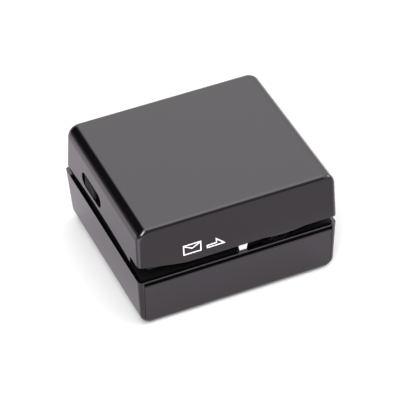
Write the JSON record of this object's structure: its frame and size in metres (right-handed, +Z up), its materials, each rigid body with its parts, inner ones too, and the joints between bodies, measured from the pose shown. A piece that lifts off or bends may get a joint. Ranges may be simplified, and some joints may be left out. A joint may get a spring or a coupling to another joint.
{
  "type": "electric letter opener",
  "caption": "Battery letter opener: glossy black two-part body with a letter slot, driven cutter discs and feed wheels, start lever, hinged hood, chip drawer and battery door.",
  "frame": {"origin": "on the table, under the middle of the body", "axes": "+X the way a letter runs (left to right), -Y the front, +Z up"},
  "size_m": [0.13, 0.118, 0.0725],
  "materials": {
    "gloss_black": "high-gloss moulded black",
    "satin_black": "fine satin black",
    "white_plastic": "white moulded",
    "natural_nylon": "unpigmented nylon",
    "black_acetal": "black acetal",
    "grey_nylon": "glass-filled grey nylon",
    "brass": "turned brass",
    "bronze": "sintered bronze",
    "bright_steel": "ground steel",
    "cutter_steel": "ground tool steel",
    "knurled_steel": "knurled steel",
    "zinc_screw": "zinc-plated",
    "zinc_can": "zinc-plated sheet",
    "nickel": "nickel-plated spring strip",
    "motor_cap": "white moulded",
    "switch_case": "black moulded",
    "board_green": "green solder mask",
    "capacitor_sleeve": "dark blue sleeve",
    "cell_sleeve": "plain dark sleeve",
    "rubber_foot": "matt black rubber",
    "soft_rubber": "soft dark rubber"
  },
  "bodies": {
    "base": {"lower_housing": "gloss_black", "deck": "satin_black", "upper_guide": "satin_black", "gearbox_front": "grey_nylon", "gearbox_rear": "grey_nylon", "gearbox_spacers": "bright_steel", "gearbox_screws": "zinc_screw", "guide_screws": "zinc_screw", "gear_axles": "bright_steel", "shaft_bushes": "bronze", "motor_can": "zinc_can", "motor_end_cap": "motor_cap", "motor_screws": "zinc_screw", "lever_pin": "bright_steel", "micro_switch": "switch_case", "circuit_board": "board_green", "capacitor": "capacitor_sleeve", "board_screws": "zinc_screw", "housing_screws": "zinc_screw", "feet": "rubber_foot", "hinge_pins": "bright_steel", "contact_plates": "nickel", "contact_springs": "nickel", "cell_1": "cell_sleeve", "cell_2": "cell_sleeve", "cell_3": "cell_sleeve", "cell_4": "cell_sleeve"},
    "hood": {"hood": "gloss_black", "slide_switch": "switch_case"},
    "switch_knob": {"switch_knob": "satin_black"},
    "battery_door": {"battery_door": "satin_black"},
    "chip_drawer": {"chip_drawer": "gloss_black"},
    "start_lever": {"start_lever": "white_plastic"},
    "motor_rotor": {"motor_shaft": "bright_steel", "motor_pinion": "brass"},
    "first_gear": {"first_gear": "natural_nylon"},
    "second_gear": {"second_gear": "natural_nylon"},
    "upper_cutter": {"upper_cutter_shaft": "bright_steel", "upper_feed_wheel": "soft_rubber", "upper_cutter_disc": "cutter_steel", "upper_cutter_gear": "black_acetal", "upper_hub_nut": "zinc_screw", "final_gear": "natural_nylon"},
    "lower_cutter": {"lower_cutter_shaft": "bright_steel", "lower_feed_wheel": "knurled_steel", "lower_cutter_disc": "cutter_steel", "lower_cutter_gear": "black_acetal", "lower_hub_nut": "zinc_screw"}
  },
  "joints": [
    {"name": "hood_hinge", "type": "hinge", "parent": "base", "child": "hood", "pos_m": [0, 0.0545, 0.044], "axis": [-1, 0, 0], "range_deg": [0, 70]},
    {"name": "chip_drawer_slide", "type": "slide", "parent": "base", "child": "chip_drawer", "axis": [0, -1, 0], "range_m": [0, 0.036]},
    {"name": "battery_door_hinge", "type": "hinge", "parent": "base", "child": "battery_door", "pos_m": [0, -0.0129, 0.0019], "axis": [-1, 0, 0], "range_deg": [0, 80]},
    {"name": "power_switch_slide", "type": "slide", "parent": "hood", "child": "switch_knob", "axis": [0, -1, 0], "range_m": [0, 0.006]},
    {"name": "start_lever_pivot", "type": "hinge", "parent": "base", "child": "start_lever", "pos_m": [0.0039, -0.05, 0.052], "axis": [0, -1, 0], "range_deg": [0, 35], "stiffness_Nm_per_rad": 0.002, "springref_deg": -10},
    {"name": "motor_spin", "type": "hinge", "parent": "base", "child": "motor_rotor", "pos_m": [-0.01223, -0.03, 0.0519], "axis": [0, 1, 0], "continuous": true},
    {"name": "first_gear_spin", "type": "hinge", "parent": "base", "child": "first_gear", "pos_m": [-0.00023, -0.03, 0.0519], "axis": [0, 1, 0], "continuous": true},
    {"name": "second_gear_spin", "type": "hinge", "parent": "base", "child": "second_gear", "pos_m": [0.01395, -0.03, 0.0544], "axis": [0, 1, 0], "continuous": true},
    {"name": "upper_cutter_spin", "type": "hinge", "parent": "base", "child": "upper_cutter", "pos_m": [0.0285, -0.03, 0.046], "axis": [0, 1, 0], "continuous": true},
    {"name": "lower_cutter_spin", "type": "hinge", "parent": "base", "child": "lower_cutter", "pos_m": [0.0285, -0.03, 0.03], "axis": [0, 1, 0], "continuous": true}
  ],
  "couplings": [
    {"joint": "first_gear_spin", "follows": "motor_spin", "ratio": -0.33333},
    {"joint": "second_gear_spin", "follows": "motor_spin", "ratio": 0.11111},
    {"joint": "upper_cutter_spin", "follows": "motor_spin", "ratio": -0.044444},
    {"joint": "lower_cutter_spin", "follows": "motor_spin", "ratio": 0.044444}
  ]
}
